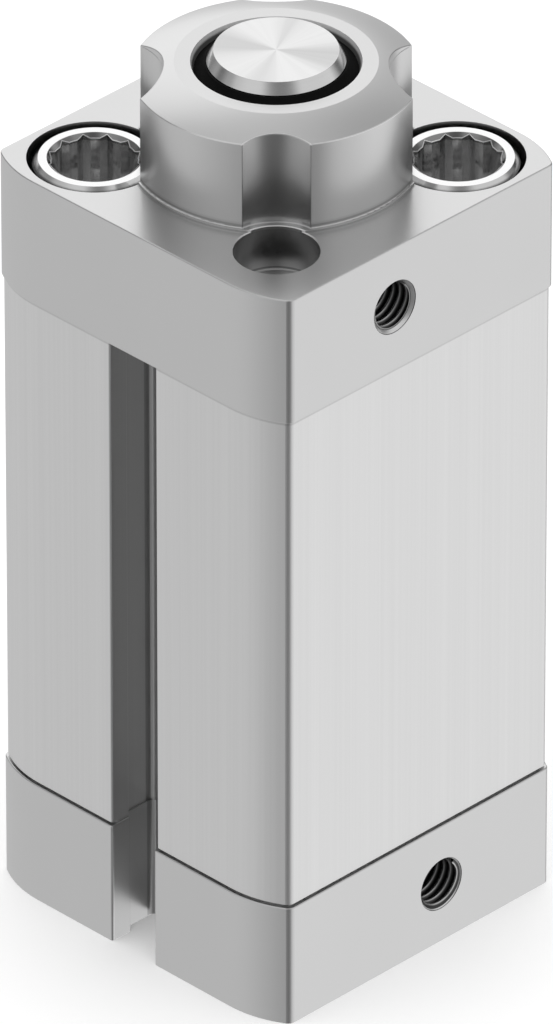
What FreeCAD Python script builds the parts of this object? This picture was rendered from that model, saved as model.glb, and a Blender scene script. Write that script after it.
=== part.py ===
import FreeCAD, Part
import math
import os

from FreeCAD import Vector

# Pneumatic stop cylinder, double acting, with a plain round stop rod.
# Millimetres, +Z along the rod, origin at the centre of the base face.
# The supply ports are on the -Y face, the sensor slots on the -X and +X faces.

# Driving sizes of the working parts
bore_diameter = 20.0
rod_diameter = 12.0
stroke = 15.0
rod_protrusion = 1.1

# Heights of the housing pieces
end_cap_height = 12.15
barrel_length = 49.05
plate_height = 12.3
collar_height = 8.5
collar_crown = 1.1

# Extruded section
slot_wall = 1.85
slot_depth = 5.8
slot_opening = 5.5
slot_inner_width = 6.9
slot_lip = 2.2
slot_floor_round = 0.6
slot_edge_round = 0.25
corner_sweep = 10.5
corner_setback = 5.8
vertical_edge_round = 0.8
rim_round = 0.12
barrel_step = 0.2
end_slot_inset = 0.15
core_hole_diameter = 7.0
end_seal_pocket_depth = 1.3
end_seal_width = 1.0

# Shadow gap between end cap and barrel
joint_gap = 0.25
joint_gap_depth = 0.8

# Bearing collar
collar_setback = 3.106
collar_land = 1.4
collar_ledge = 0.2
collar_ledge_height = 0.2
collar_foot_fillet = 0.15
collar_edge_break = 0.1

# Collar screws with twelve-point drive and an inner thread
screw_web = 1.556
screw_thread_diameter = 8.0
screw_shank_length = 18.0
screw_head_shoulder = 1.4
screw_head_height = 5.8
screw_head_chamfer = 0.5
screw_head_proud = 0.0
screw_head_sunk = 0.5
screw_pocket_gap = 0.5
end_pocket_gap = 0.25
shank_tip_chamfer = 0.6
drive_across_flats = 7.0
drive_bore_diameter = 7.5
drive_depth = 4.5
drive_lead_in = 0.1
inner_thread_diameter = 5.0
inner_thread_depth = 9.0

# Through holes for the mounting screws
mount_hole_diameter = 4.5
mount_counterbore_diameter = 7.5
mount_counterbore_depth = 4.0
mount_scallop_diameter = 9.0

# Supply ports
port_thread_diameter = 5.0
port_thread_depth = 5.5
port_rim_break = 0.05
port_drill_diameter = 2.4
front_port_offset = -3.38
rear_port_offset = 2.65
front_port_drop = 6.0
rear_port_height = 5.9
flute_diameter = 1.8

# Rod guide and seals
bush_wall = 1.0
bush_spacing = 4.6
bush_chamfer = 0.25
wiper_width = 1.08
wiper_height = 3.5
wiper_recess = 0.8
wiper_mouth = 0.3
wiper_heel = 0.4
wiper_groove = 0.8
wiper_lip = 0.25
wiper_lip_face = 0.5
wiper_lip_drop = 0.1
wiper_lip_length = 1.6
wiper_relief = 0.3
rod_seal_width = 1.6
rod_seal_height = 2.2

# Section of the lip seals
lip_thickness = 0.4
lip_face = 0.5
lip_flare = 0.3
lip_base = 1.2
lip_root = 0.15
seal_end_gap = 0.1
cord_bevel = 0.3

# Rod end and rod spigot
rod_chamfer_radial = 0.6
rod_chamfer_height = 1.0
rod_spigot_diameter = 8.0
rod_spigot_chamfer = 0.4
rod_thread_diameter = 5.0
rod_thread_depth = 12.0
spigot_seal_width = 1.0
spigot_seal_height = 1.5

# End-stop buffers
buffer_height = 2.0
buffer_proud = 1.0
buffer_bevel = 0.2
buffer_rod_gap = 0.4
buffer_recess_gap = 0.4
rear_buffer_width = 2.9
air_hole_diameter = 5.0
air_hole_floor = 4.5
cap_spigot_height = 3.3

# Piston
piston_half_height = 5.8
magnet_height = 2.4
piston_land_gap = 0.4
piston_end_land = 1.0
piston_seal_height = 3.0
piston_seal_width = 2.6
guide_ring_width = 1.0
hub_wall = 2.2
piston_web = 1.0
piston_screw_head_diameter = 8.5
piston_screw_head_height = 2.5
piston_screw_head_chamfer = 0.4
piston_screw_recess = 3.0
piston_screw_length = 10.0
piston_screw_key = 4.0
piston_screw_key_depth = 1.4

# Clearances
seat_clearance = 0.02
cap_spigot_clearance = 0.05
running_clearance = 0.04
thread_clearance = 0.03
head_clearance = 0.25
stop_gap = 0.1
cut_margin = 1.0

# Radii that follow from the driving sizes
bore_radius = bore_diameter / 2
rod_radius = rod_diameter / 2
half_width = bore_radius + slot_wall + slot_depth
slot_floor = bore_radius + slot_wall
sweep_start = half_width - corner_setback
hole_circle_radius = bore_radius + screw_web + screw_thread_diameter / 2
hole_half_pitch = hole_circle_radius / math.sqrt(2)
spigot_radius = bore_radius - cap_spigot_clearance
bush_radius = rod_radius + bush_wall
rod_seal_radius = rod_radius + rod_seal_width
wiper_radius = rod_radius + wiper_width
mouth_radius = wiper_radius + wiper_mouth
land_radius = mouth_radius + collar_land
collar_radius = hole_circle_radius - collar_setback
rod_spigot_radius = rod_spigot_diameter / 2
hub_radius = rod_spigot_radius + hub_wall
piston_radius = bore_radius - piston_land_gap
piston_groove_radius = bore_radius - piston_seal_width
screw_head_radius = screw_thread_diameter / 2 + screw_head_shoulder
screw_pocket_radius = screw_head_radius + screw_pocket_gap
end_pocket_radius = screw_head_radius + end_pocket_gap
piston_recess_radius = piston_screw_head_diameter / 2 + head_clearance
rear_buffer_inner = piston_recess_radius + buffer_recess_gap
rear_buffer_outer = rear_buffer_inner + rear_buffer_width

# Levels along the rod axis
barrel_bottom = end_cap_height
barrel_top = barrel_bottom + barrel_length
plate_top = barrel_top + plate_height
ledge_top = plate_top + collar_ledge_height
collar_edge = plate_top + collar_height
collar_top = collar_edge + collar_crown
rod_top = collar_top + rod_protrusion
wiper_top = collar_top - wiper_recess
wiper_floor = wiper_top - wiper_height
cap_spigot_top = barrel_bottom + cap_spigot_height
piston_bottom = cap_spigot_top + buffer_proud + stop_gap
magnet_bottom = piston_bottom + piston_half_height
magnet_top = magnet_bottom + magnet_height
piston_top = magnet_top + piston_half_height
spigot_bottom = piston_top + stroke + stop_gap + buffer_proud
front_buffer_bottom = spigot_bottom - buffer_proud
rod_seal_bottom = front_buffer_bottom + buffer_height
rod_seal_top = rod_seal_bottom + rod_seal_height
bush_length = (wiper_floor - rod_seal_top - bush_spacing) / 2
front_port_height = plate_top - front_port_drop
rod_shoulder = piston_top
screw_seat = piston_bottom + piston_screw_recess
rod_spigot_end = screw_seat + piston_web
rear_buffer_bottom = cap_spigot_top + buffer_proud - buffer_height

# Corners that take a collar screw, and corners left open for a mounting screw
screw_corners = [(-hole_half_pitch, hole_half_pitch), (hole_half_pitch, -hole_half_pitch)]
mount_corners = [(-hole_half_pitch, -hole_half_pitch), (hole_half_pitch, hole_half_pitch)]

UP = Vector(0, 0, 1)


def cylinder(radius, bottom, top, centre=(0, 0)):
    """Upright cylinder between two levels."""
    return Part.makeCylinder(radius, top - bottom, Vector(centre[0], centre[1], bottom))


def turned(section, centre=(0, 0)):
    """Solid turned about an upright axis from a closed (radius, level) section."""
    points = [Vector(centre[0] + radius, centre[1], level) for radius, level in section]
    face = Part.Face(Part.makePolygon(points + points[:1]))
    return face.revolve(Vector(centre[0], centre[1], 0), UP, 360)


def ring(inner, outer, bottom, top):
    """Plain turned ring."""
    return turned([(inner, bottom), (outer, bottom), (outer, top), (inner, top)])


def bevelled_ring(inner, outer, bottom, top, bevel):
    """Turned ring with all four of its edges bevelled."""
    return turned(
        [
            (inner + bevel, bottom),
            (outer - bevel, bottom),
            (outer, bottom + bevel),
            (outer, top - bevel),
            (outer - bevel, top),
            (inner + bevel, top),
            (inner, top - bevel),
            (inner, bottom + bevel),
        ]
    )


def prism(points, bottom, top):
    """Upright prism over a closed polygon of (x, y) points."""
    corners = [Vector(x, y, bottom) for x, y in points]
    face = Part.Face(Part.makePolygon(corners + corners[:1]))
    return face.extrude(Vector(0, 0, top - bottom))


def upright_edges(shape, chosen):
    """Straight vertical edges whose (x, y) place passes the test."""
    found = []
    for edge in shape.Edges:
        ends = [vertex.Point for vertex in edge.Vertexes]
        if len(ends) == 2 and abs(ends[0].x - ends[1].x) < 1e-6 and abs(ends[0].y - ends[1].y) < 1e-6:
            if chosen(ends[0].x, ends[0].y):
                found.append(edge)
    return found


def level_edges(shape, level, chosen):
    """Edges that lie in a level plane and whose middle point passes the test."""
    found = []
    for edge in shape.Edges:
        box = edge.BoundBox
        if abs(box.ZMin - level) < 1e-6 and abs(box.ZMax - level) < 1e-6:
            middle = edge.valueAt((edge.FirstParameter + edge.LastParameter) / 2)
            if chosen(middle.x, middle.y):
                found.append(edge)
    return found


def section_edge(inset):
    """Half length of the flat port face, up to where the swept corner meets it."""
    half = half_width - inset
    sweep = corner_sweep - inset
    return half - sweep + math.sqrt(sweep**2 - (half - sweep_start) ** 2)


def housing_block(inset, bottom, top):
    """Square section with swept corners, standing back from the full width by the inset."""
    half = half_width - inset
    sweep = corner_sweep - inset
    edge = section_edge(inset)
    turn = math.asin((half - sweep_start) / sweep) / 2
    bulge = (half - sweep + sweep * math.cos(turn), sweep_start + sweep * math.sin(turn))

    def at(x, y):
        return Vector(x, y, bottom)

    def corner(side_x, side_y):
        points = [(half, sweep_start), bulge, (edge, half)]
        return Part.Arc(*[at(side_x * x, side_y * y) for x, y in points]).toShape()

    curves = [
        Part.LineSegment(at(half, -sweep_start), at(half, sweep_start)).toShape(),
        corner(1, 1),
        Part.LineSegment(at(edge, half), at(-edge, half)).toShape(),
        corner(-1, 1),
        Part.LineSegment(at(-half, sweep_start), at(-half, -sweep_start)).toShape(),
        corner(-1, -1),
        Part.LineSegment(at(-edge, -half), at(edge, -half)).toShape(),
        corner(1, -1),
    ]
    block = Part.Face(Part.Wire(Part.__sortEdges__(curves))).extrude(Vector(0, 0, top - bottom))
    sharp = upright_edges(block, lambda x, y: abs(abs(x) - edge) < 1e-4)
    return block.makeFillet(vertical_edge_round, sharp)


def sensor_slot(side, inset, bottom, top):
    """T-slot for a position sensor, opening on the +X or -X face. The inset narrows it."""
    mouth = slot_opening / 2 - inset
    inner = slot_inner_width / 2 - inset
    shoulder = half_width - slot_lip
    outside = half_width + cut_margin
    section = [
        (side * outside, -mouth),
        (side * outside, mouth),
        (side * shoulder, mouth),
        (side * shoulder, inner),
        (side * slot_floor, inner),
        (side * slot_floor, -inner),
        (side * shoulder, -inner),
        (side * shoulder, -mouth),
    ]
    slot = prism(section, bottom, top)
    floor = upright_edges(slot, lambda x, y: abs(abs(x) - slot_floor) < 1e-6)
    return slot.makeFillet(slot_floor_round, floor)


def slotted_block(inset, slot_inset, bottom, top, slot_bottom):
    """Housing block with a sensor slot down both sides and rounded slot lips."""
    block = housing_block(inset, bottom, top)
    block = block.cut([sensor_slot(side, slot_inset, slot_bottom, top + cut_margin) for side in (-1, 1)])
    face = half_width - inset
    mouth = slot_opening / 2 - slot_inset
    lips = upright_edges(block, lambda x, y: abs(abs(x) - face) < 1e-4 and abs(abs(y) - mouth) < 1e-4)
    return block.makeFillet(slot_edge_round, lips)


def rim_filleted(block, level, inset):
    """Rounds the outer rim of a housing block at one level."""
    inside = half_width - inset - slot_edge_round - 1e-3
    rim = level_edges(
        block,
        level,
        lambda x, y: max(abs(x), abs(y)) > inside
        or abs(x) > section_edge(inset) - vertical_edge_round
        and abs(y) > sweep_start,
    )
    return block.makeFillet(rim_round, rim)


def supply_port(offset, height, reach):
    """Threaded port bore in the -Y face, with its drilling that runs inwards to the reach."""
    face = -half_width
    inwards = Vector(0, 1, 0)
    radius = port_thread_diameter / 2
    drill = port_drill_diameter / 2
    bore = Part.makeCylinder(
        radius, port_thread_depth + cut_margin, Vector(offset, face - cut_margin, height), inwards
    )
    rim = Part.makeCone(
        radius + port_rim_break, radius, port_rim_break, Vector(offset, face, height), inwards
    )
    start = face + port_thread_depth - cut_margin
    drilling = Part.makeCylinder(drill, reach - start, Vector(offset, start, height), inwards)
    return [bore, rim, drilling]


def drive_socket(centre, mouth, direction):
    """Twelve-point socket with a conical lead-in, cut from its mouth along the direction."""
    corner = drive_across_flats / 2 / math.cos(math.pi / 6)
    valley = drive_across_flats / 2 / math.cos(math.pi / 12)
    points = []
    for step in range(24):
        reach = corner if step % 2 == 0 else valley
        angle = step * math.pi / 12
        points.append((centre[0] + reach * math.cos(angle), centre[1] + reach * math.sin(angle)))
    levels = sorted([mouth - direction * cut_margin, mouth + direction * drive_depth])
    lead_radius = corner + drive_lead_in
    lead_depth = lead_radius - valley
    lead = Part.makeCone(
        lead_radius, valley, lead_depth, Vector(centre[0], centre[1], mouth), Vector(0, 0, direction)
    )
    drilled = cylinder(drive_bore_diameter / 2, levels[0], levels[1], centre)
    return [prism(points, *levels), drilled, lead]


def collar_screw(centre, head_end, direction):
    """Collar screw from its head end, running along the direction into the barrel."""
    head = screw_head_radius
    shank = screw_thread_diameter / 2
    chamfer = screw_head_chamfer
    seat = screw_head_height
    tip = seat + screw_shank_length
    section = [
        (0, 0),
        (head - chamfer, 0),
        (head, chamfer),
        (head, seat),
        (shank, seat),
        (shank, tip - shank_tip_chamfer),
        (shank - shank_tip_chamfer, tip),
        (0, tip),
    ]
    screw = turned([(radius, head_end + direction * along) for radius, along in section], centre)
    thread_end = head_end + direction * (drive_depth + inner_thread_depth)
    levels = sorted([head_end + direction * (drive_depth - cut_margin), thread_end])
    inner_thread = cylinder(inner_thread_diameter / 2, levels[0], levels[1], centre)
    return screw.cut(drive_socket(centre, head_end, direction) + [inner_thread])


def bearing_cap_screws():
    """Pair of collar screws that hold the bearing cap, heads standing level with its top or proud of it."""
    return Part.Compound([collar_screw(c, plate_top + screw_head_proud, -1) for c in screw_corners])


def end_cap_screws():
    """Pair of collar screws that hold the end cap, heads sunk below the base face."""
    return Part.Compound([collar_screw(c, screw_head_sunk, 1) for c in screw_corners])


def barrel():
    """Extruded barrel with its bore, corner cores, sensor slots and end-seal pockets."""
    block = slotted_block(barrel_step, 0, barrel_bottom, barrel_top, barrel_bottom - cut_margin)
    low = barrel_bottom - cut_margin
    high = barrel_top + cut_margin
    pocket = bore_radius + end_seal_width
    tapped = screw_thread_diameter / 2 + thread_clearance
    cuts = [
        cylinder(bore_radius, low, high),
        cylinder(pocket, low, barrel_bottom + end_seal_pocket_depth),
        cylinder(pocket, barrel_top - end_seal_pocket_depth, high),
    ]
    cuts += [cylinder(tapped, low, high, corner) for corner in screw_corners]
    cuts += [cylinder(core_hole_diameter / 2, low, high, corner) for corner in mount_corners]
    return block.cut(cuts)


def end_cap():
    """End cap with the rear port, its spigot into the barrel and the shadow gap at the joint."""
    rim_level = end_cap_height - joint_gap
    block = slotted_block(0, end_slot_inset, 0, rim_level, -cut_margin)
    block = rim_filleted(block, rim_level, 0)
    pad = slotted_block(joint_gap_depth, 0, rim_level, end_cap_height, 0)
    spigot = cylinder(spigot_radius, rim_level, cap_spigot_top)
    body = block.fuse([pad, spigot])
    screw_floor = screw_head_sunk + screw_head_height
    shank = screw_thread_diameter / 2 + head_clearance
    high = end_cap_height + cut_margin
    cuts = [
        cylinder(rear_buffer_outer + seat_clearance, rear_buffer_bottom, cap_spigot_top + cut_margin),
        cylinder(air_hole_diameter / 2, air_hole_floor, cap_spigot_top + cut_margin),
    ]
    cuts += [cylinder(end_pocket_radius, -cut_margin, screw_floor, corner) for corner in screw_corners]
    cuts += [cylinder(shank, -cut_margin, high, corner) for corner in screw_corners]
    cuts += [cylinder(mount_hole_diameter / 2, -cut_margin, high, corner) for corner in mount_corners]
    cuts += supply_port(rear_port_offset, rear_port_height, 0)
    return body.cut(cuts).removeSplitter()


def bearing_collar():
    """Round collar with a coned crown and a narrow foot ledge, notched beside the mounting holes."""
    collar = turned(
        [
            (0, barrel_top + cut_margin),
            (collar_radius + collar_ledge, barrel_top + cut_margin),
            (collar_radius + collar_ledge, ledge_top),
            (collar_radius, ledge_top),
            (collar_radius, collar_edge),
            (land_radius, collar_top),
            (0, collar_top),
        ]
    )
    notch = mount_scallop_diameter / 2
    collar = collar.cut([cylinder(notch, ledge_top, collar_top + cut_margin, c) for c in mount_corners])
    upright = upright_edges(collar, lambda x, y: x * y > 1 and abs(math.hypot(x, y) - collar_radius) < 1e-3)
    collar = collar.makeFillet(collar_edge_break, upright)
    foot = level_edges(collar, ledge_top, lambda x, y: math.hypot(x, y) < collar_radius + 1e-3)
    return collar.makeFillet(collar_foot_fillet, foot)


def collar_edges_broken(cap):
    """Takes the sharpness off the crown's rim and the notches that cut into it."""
    found = []
    for edge in cap.Edges:
        middle = edge.valueAt((edge.FirstParameter + edge.LastParameter) / 2)
        reach = math.hypot(middle.x, middle.y)
        if middle.z > collar_edge - 1e-3 and land_radius + 1e-3 < reach < collar_radius + 1e-3:
            found.append(edge)
    return cap.makeFillet(collar_edge_break, found)


def bearing_cap():
    """Bearing cap: plate, notched bearing collar, spigot, rod guide bore and front port."""
    plate = housing_block(0, barrel_top, plate_top)
    plate = rim_filleted(plate, plate_top, 0)
    plate = rim_filleted(plate, barrel_top, 0)
    body = plate.fuse([bearing_collar(), cylinder(spigot_radius, spigot_bottom, barrel_top)])
    screw_floor = plate_top + screw_head_proud - screw_head_height
    shank = screw_thread_diameter / 2 + head_clearance
    mount_floor = plate_top - mount_counterbore_depth
    low = spigot_bottom - cut_margin
    high = collar_top + cut_margin
    flute_side = -math.sqrt(spigot_radius**2 - front_port_offset**2)
    flute = (front_port_offset, flute_side)
    cuts = [
        cylinder(bush_radius + seat_clearance, low, high),
        cylinder(rod_seal_radius + seat_clearance, low, rod_seal_top),
        cylinder(wiper_radius, wiper_floor, wiper_top),
        Part.makeCone(wiper_radius, mouth_radius, wiper_recess, Vector(0, 0, wiper_top)),
        cylinder(flute_diameter / 2, low, front_port_height, flute),
    ]
    for corner in screw_corners:
        cuts.append(cylinder(screw_pocket_radius, screw_floor, high, corner))
        cuts.append(cylinder(shank, barrel_top - cut_margin, high, corner))
    for corner in mount_corners:
        cuts.append(cylinder(mount_counterbore_diameter / 2, mount_floor, high, corner))
        cuts.append(cylinder(mount_hole_diameter / 2, barrel_top - cut_margin, high, corner))
    cuts += supply_port(front_port_offset, front_port_height, flute_side)
    return collar_edges_broken(body.cut(cuts).removeSplitter())


def guide_bush(bottom):
    """Plain bearing bush seated in the bearing cap."""
    inner = rod_radius + running_clearance
    return bevelled_ring(inner, bush_radius, bottom, bottom + bush_length, bush_chamfer)


def wiper_ring():
    """Wiper at the mouth of the collar, with a groove and a lip that cleans the rod."""
    inner = rod_radius + running_clearance
    outer = wiper_radius - seat_clearance
    top = wiper_top
    lip_top = top - wiper_lip_drop
    relief = inner + wiper_relief
    return turned(
        [
            (relief, wiper_floor),
            (outer, wiper_floor),
            (outer, top),
            (outer - wiper_heel, top),
            (relief + wiper_lip, top - wiper_groove),
            (inner + wiper_lip, lip_top),
            (inner, lip_top),
            (inner, lip_top - wiper_lip_face),
            (relief, lip_top - wiper_lip_length),
        ]
    )


def lip_section(width, height):
    """Section of a lip seal as (across, along) points: static side at 0, running lip at the width."""
    return [
        (0, 0),
        (width - lip_flare, 0),
        (width, height - lip_face),
        (width, height),
        (width - lip_thickness, height),
        (width - lip_thickness - lip_root, lip_base),
        (lip_thickness + lip_root, lip_base),
        (lip_thickness, height),
        (0, height),
    ]


def rod_seal():
    """Lip seal round the rod, held in the spigot by the front buffer."""
    section = lip_section(rod_seal_width - running_clearance, rod_seal_height - seal_end_gap)
    return turned([(rod_seal_radius - across, rod_seal_top - along) for across, along in section])


def front_buffer():
    """Elastic end stop in the mouth of the spigot, in front of the piston."""
    inner = rod_radius + buffer_rod_gap
    return bevelled_ring(inner, rod_seal_radius, front_buffer_bottom, rod_seal_bottom, buffer_bevel)


def rear_buffer():
    """Elastic end stop on the end cap, behind the piston."""
    top = rear_buffer_bottom + buffer_height
    return bevelled_ring(rear_buffer_inner, rear_buffer_outer, rear_buffer_bottom, top, buffer_bevel)


def barrel_seal(bottom):
    """Cord seal in the pocket at one end of the barrel, round the cap's spigot."""
    inner = spigot_radius + seat_clearance
    outer = bore_radius + end_seal_width - seat_clearance
    return bevelled_ring(inner, outer, bottom, bottom + end_seal_pocket_depth, cord_bevel)


def stop_rod():
    """Stop rod with a bevelled nose and a tapped spigot that carries the piston."""
    rod = turned(
        [
            (0, rod_spigot_end),
            (rod_spigot_radius - rod_spigot_chamfer, rod_spigot_end),
            (rod_spigot_radius, rod_spigot_end + rod_spigot_chamfer),
            (rod_spigot_radius, rod_shoulder),
            (rod_radius, rod_shoulder),
            (rod_radius, rod_top - rod_chamfer_height),
            (rod_radius - rod_chamfer_radial, rod_top),
            (0, rod_top),
        ]
    )
    tapped = rod_thread_diameter / 2 + thread_clearance
    return rod.cut(cylinder(tapped, rod_spigot_end - cut_margin, rod_spigot_end + rod_thread_depth))


def front_piston_half():
    """Front half of the piston, with its seal groove and the pocket for the spigot seal."""
    bore = rod_spigot_radius + seat_clearance
    groove_top = piston_top - piston_end_land
    groove_bottom = groove_top - piston_seal_height
    half = turned(
        [
            (bore, magnet_top),
            (piston_radius, magnet_top),
            (piston_radius, groove_bottom),
            (piston_groove_radius, groove_bottom),
            (piston_groove_radius, groove_top),
            (piston_radius, groove_top),
            (piston_radius, piston_top),
            (bore, piston_top),
        ]
    )
    pocket = rod_spigot_radius + spigot_seal_width
    return half.cut(cylinder(pocket, magnet_top - cut_margin, magnet_top + spigot_seal_height))


def rear_piston_half():
    """Rear half of the piston: seal groove, hub for the magnet and recess for the screw head."""
    bore = rod_spigot_radius + seat_clearance
    groove_bottom = piston_bottom + piston_end_land
    groove_top = groove_bottom + piston_seal_height
    shank = rod_thread_diameter / 2 + head_clearance
    return turned(
        [
            (piston_recess_radius, piston_bottom),
            (piston_radius, piston_bottom),
            (piston_radius, groove_bottom),
            (piston_groove_radius, groove_bottom),
            (piston_groove_radius, groove_top),
            (piston_radius, groove_top),
            (piston_radius, magnet_bottom),
            (hub_radius, magnet_bottom),
            (hub_radius, magnet_top),
            (bore, magnet_top),
            (bore, rod_spigot_end),
            (shank, rod_spigot_end),
            (shank, screw_seat),
            (piston_recess_radius, screw_seat),
        ]
    )


def magnet_ring():
    """Ring magnet that the position sensor reads, clamped between the piston halves."""
    inner = hub_radius + seat_clearance
    return ring(inner, bore_radius - guide_ring_width, magnet_bottom, magnet_top)


def piston_guide_ring():
    """Guide strip round the magnet, which centres the piston in the bore."""
    inner = bore_radius - guide_ring_width + seat_clearance
    return ring(inner, bore_radius - running_clearance, magnet_bottom, magnet_top)


def piston_seal(base, direction):
    """Lip seal of the piston from its base level, with lips opening along the direction."""
    inner = piston_groove_radius + seat_clearance
    width = piston_seal_width - seat_clearance - running_clearance
    section = lip_section(width, piston_seal_height - seal_end_gap)
    return turned([(inner + across, base + direction * along) for across, along in section])


def spigot_seal():
    """Small cord seal between the rod spigot and the piston."""
    inner = rod_spigot_radius + seat_clearance
    outer = rod_spigot_radius + spigot_seal_width - seat_clearance
    return bevelled_ring(inner, outer, magnet_top, magnet_top + spigot_seal_height, cord_bevel)


def piston_screw():
    """Low-head screw that clamps both piston halves to the rod."""
    head = piston_screw_head_diameter / 2
    chamfer = piston_screw_head_chamfer
    shank = rod_thread_diameter / 2
    head_bottom = screw_seat - piston_screw_head_height
    tip = screw_seat + piston_screw_length
    screw = turned(
        [
            (0, head_bottom),
            (head - chamfer, head_bottom),
            (head, head_bottom + chamfer),
            (head, screw_seat),
            (shank, screw_seat),
            (shank, tip - shank_tip_chamfer),
            (shank - shank_tip_chamfer, tip),
            (0, tip),
        ]
    )
    corner = piston_screw_key / 2 / math.cos(math.pi / 6)
    hexagon = [
        (corner * math.cos(step * math.pi / 3), corner * math.sin(step * math.pi / 3)) for step in range(6)
    ]
    return screw.cut(prism(hexagon, head_bottom - cut_margin, head_bottom + piston_screw_key_depth))


pieces = {
    "barrel": barrel(),
    "end_cap": end_cap(),
    "bearing_cap": bearing_cap(),
    "bearing_cap_screws": bearing_cap_screws(),
    "end_cap_screws": end_cap_screws(),
    "lower_guide_bush": guide_bush(rod_seal_top),
    "upper_guide_bush": guide_bush(wiper_floor - bush_length),
    "wiper_ring": wiper_ring(),
    "rod_seal": rod_seal(),
    "front_buffer": front_buffer(),
    "rear_buffer": rear_buffer(),
    "front_barrel_seal": barrel_seal(barrel_top - end_seal_pocket_depth),
    "rear_barrel_seal": barrel_seal(barrel_bottom),
    "stop_rod": stop_rod(),
    "front_piston_half": front_piston_half(),
    "rear_piston_half": rear_piston_half(),
    "magnet_ring": magnet_ring(),
    "piston_guide_ring": piston_guide_ring(),
    "front_piston_seal": piston_seal(piston_top - piston_end_land - piston_seal_height, 1),
    "rear_piston_seal": piston_seal(piston_bottom + piston_end_land + piston_seal_height, -1),
    "spigot_seal": spigot_seal(),
    "piston_screw": piston_screw(),
}

os.makedirs("parts", exist_ok=True)
for name, shape in pieces.items():
    shape.exportStep(f"parts/{name}.step")
    print(f"{name}: {len(shape.Solids)} solid(s), valid {shape.isValid()}, {shape.Volume:.1f} mm3")
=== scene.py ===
"""Looks of a pneumatic stop cylinder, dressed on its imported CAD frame.

Sizes are in millimetres unless a name says otherwise, in the frame of the CAD model: +Z along the rod, the
supply ports on the -Y face and the sensor slots on the -X and +X faces.
"""

import logging
import math
from dataclasses import dataclass, replace
from enum import Enum
from typing import Any, Iterator, Mapping, Optional, Sequence, Union

import bpy
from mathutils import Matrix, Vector


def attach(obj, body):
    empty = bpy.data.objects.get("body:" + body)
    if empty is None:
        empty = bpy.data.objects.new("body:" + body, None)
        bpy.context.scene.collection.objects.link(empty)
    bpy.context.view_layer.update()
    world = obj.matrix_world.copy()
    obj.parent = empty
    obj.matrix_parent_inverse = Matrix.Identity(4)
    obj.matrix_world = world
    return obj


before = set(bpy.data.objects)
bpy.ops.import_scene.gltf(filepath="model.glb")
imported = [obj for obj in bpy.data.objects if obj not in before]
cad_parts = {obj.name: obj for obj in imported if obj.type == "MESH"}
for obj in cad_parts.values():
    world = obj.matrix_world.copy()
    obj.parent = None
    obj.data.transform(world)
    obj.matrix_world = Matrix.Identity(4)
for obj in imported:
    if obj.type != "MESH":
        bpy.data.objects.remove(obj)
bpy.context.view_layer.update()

MM = 0.001
LOG = logging.getLogger("stop_cylinder")

Number = Union[float, "Value"]
Socket = bpy.types.NodeSocket
Pair = tuple[float, float]
Span = tuple[float, float]
Triple = tuple[float, float, float]

# Direction to the right in the photograph
PHOTO_RIGHT: Triple = (0.706, -0.708, 0.0)

# Upright axes of the rod, and of the screws and mounting holes when they are mirrored to one corner
ROD_AXIS: Pair = (0.0, 0.0)
CORNER_AXIS: Pair = (11.0, 11.0)

# Factors that leave out how high a place lies
SIDEWAYS: Triple = (1.0, 1.0, 0.0)

# Places of the colour sockets on a Mix node
MIX_FACTOR, MIX_FIRST, MIX_SECOND, MIX_RESULT = 0, 6, 7, 2


class Body(Enum):
    """CAD bodies that a piece can ride on."""

    HOUSING = "housing"
    ROD = "rod_assembly"


class Slot(Enum):
    """Material slots of the record, one of which each new piece names."""

    CAP = "satin_cap"
    SCREW = "screw_steel"
    SEAL = "seal_rubber"


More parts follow.
